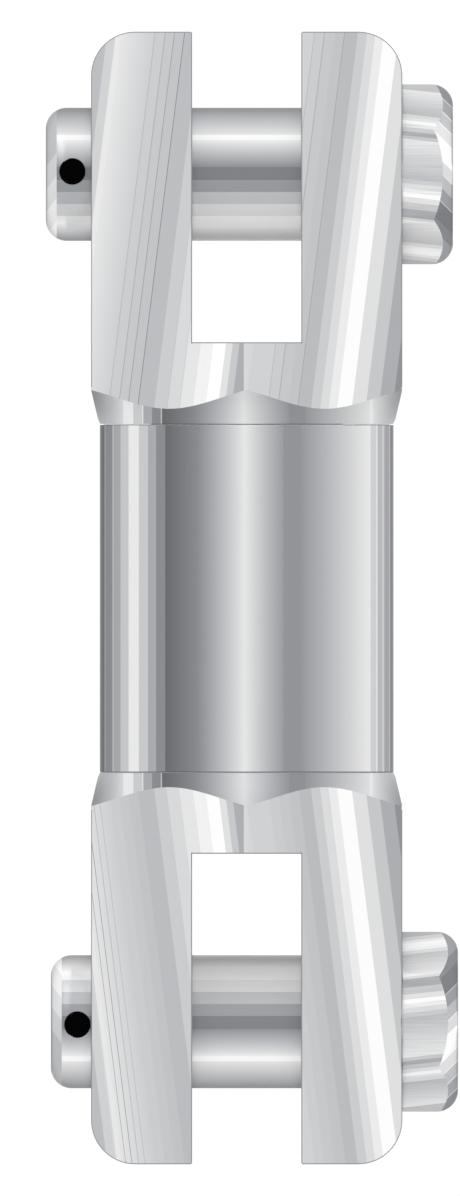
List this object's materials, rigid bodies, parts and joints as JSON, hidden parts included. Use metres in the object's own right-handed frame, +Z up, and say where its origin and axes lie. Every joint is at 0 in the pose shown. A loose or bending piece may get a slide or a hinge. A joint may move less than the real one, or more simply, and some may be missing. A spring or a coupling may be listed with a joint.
{
  "type": "swivel clevis",
  "caption": "Pulling swivel with a forked jaw and a headed cross pin at each end of a round housing. One jaw turns freely on bearings inside the housing.",
  "frame": {"origin": "middle of the lower clevis pin, on the swivel axis", "axes": "+Z up the swivel axis to the jaw that turns, +X along the clevis pins to their heads, -Y the side that the picture shows"},
  "size_m": [0.0983, 0.0854, 0.27],
  "materials": {
    "bright_steel": "bright polished",
    "black_oxide": "black oxide",
    "bearing_steel": "ground and polished",
    "turned_steel": "turned",
    "plated_steel": "zinc plated",
    "spring_steel": "plain",
    "bronze": "turned bronze",
    "cage_brass": "machined",
    "seal_rubber": "matt"
  },
  "bodies": {
    "housing": {"swivel_housing": "bright_steel", "lower_clevis": "bright_steel", "shaft_seal": "seal_rubber", "garter_spring": "spring_steel", "flanged_bush": "bronze", "thrust_washer_fixed": "bearing_steel", "radial_outer_ring": "bearing_steel", "joint_ring": "seal_rubber", "lock_screw": "black_oxide", "grease_nipple": "plated_steel"},
    "spindle": {"upper_clevis": "bright_steel", "thrust_washer_turning": "bearing_steel", "nut_spacer": "turned_steel", "castle_nut": "turned_steel", "nut_cotter": "spring_steel", "radial_inner_ring": "bearing_steel", "tail_clip": "spring_steel"},
    "thrust_ball_set": {"thrust_balls": "bearing_steel", "thrust_cage": "cage_brass"},
    "radial_ball_set": {"radial_balls": "bearing_steel", "radial_cage": "cage_brass"},
    "upper_pin": {"upper_clevis_pin": "bright_steel", "upper_keeper_pin": "black_oxide"},
    "lower_pin": {"lower_clevis_pin": "bright_steel", "lower_keeper_pin": "black_oxide"}
  },
  "joints": [
    {"name": "swivel_turn", "type": "hinge", "parent": "housing", "child": "spindle", "pos_m": [0, 0, 0.101], "axis": [0, 0, 1], "continuous": true},
    {"name": "thrust_ball_orbit", "type": "hinge", "parent": "housing", "child": "thrust_ball_set", "pos_m": [0, 0, 0.1058], "axis": [0, 0, 1], "continuous": true},
    {"name": "radial_ball_orbit", "type": "hinge", "parent": "housing", "child": "radial_ball_set", "pos_m": [0, 0, 0.0735], "axis": [0, 0, 1], "continuous": true},
    {"name": "upper_pin_turn", "type": "hinge", "parent": "spindle", "child": "upper_pin", "pos_m": [0, 0, 0.202], "axis": [1, 0, 0], "continuous": true},
    {"name": "lower_pin_turn", "type": "hinge", "parent": "housing", "child": "lower_pin", "pos_m": [0, 0, 0], "axis": [1, 0, 0], "continuous": true}
  ],
  "couplings": [
    {"joint": "thrust_ball_orbit", "follows": "swivel_turn", "ratio": 0.5},
    {"joint": "radial_ball_orbit", "follows": "swivel_turn", "ratio": 0.3976}
  ]
}
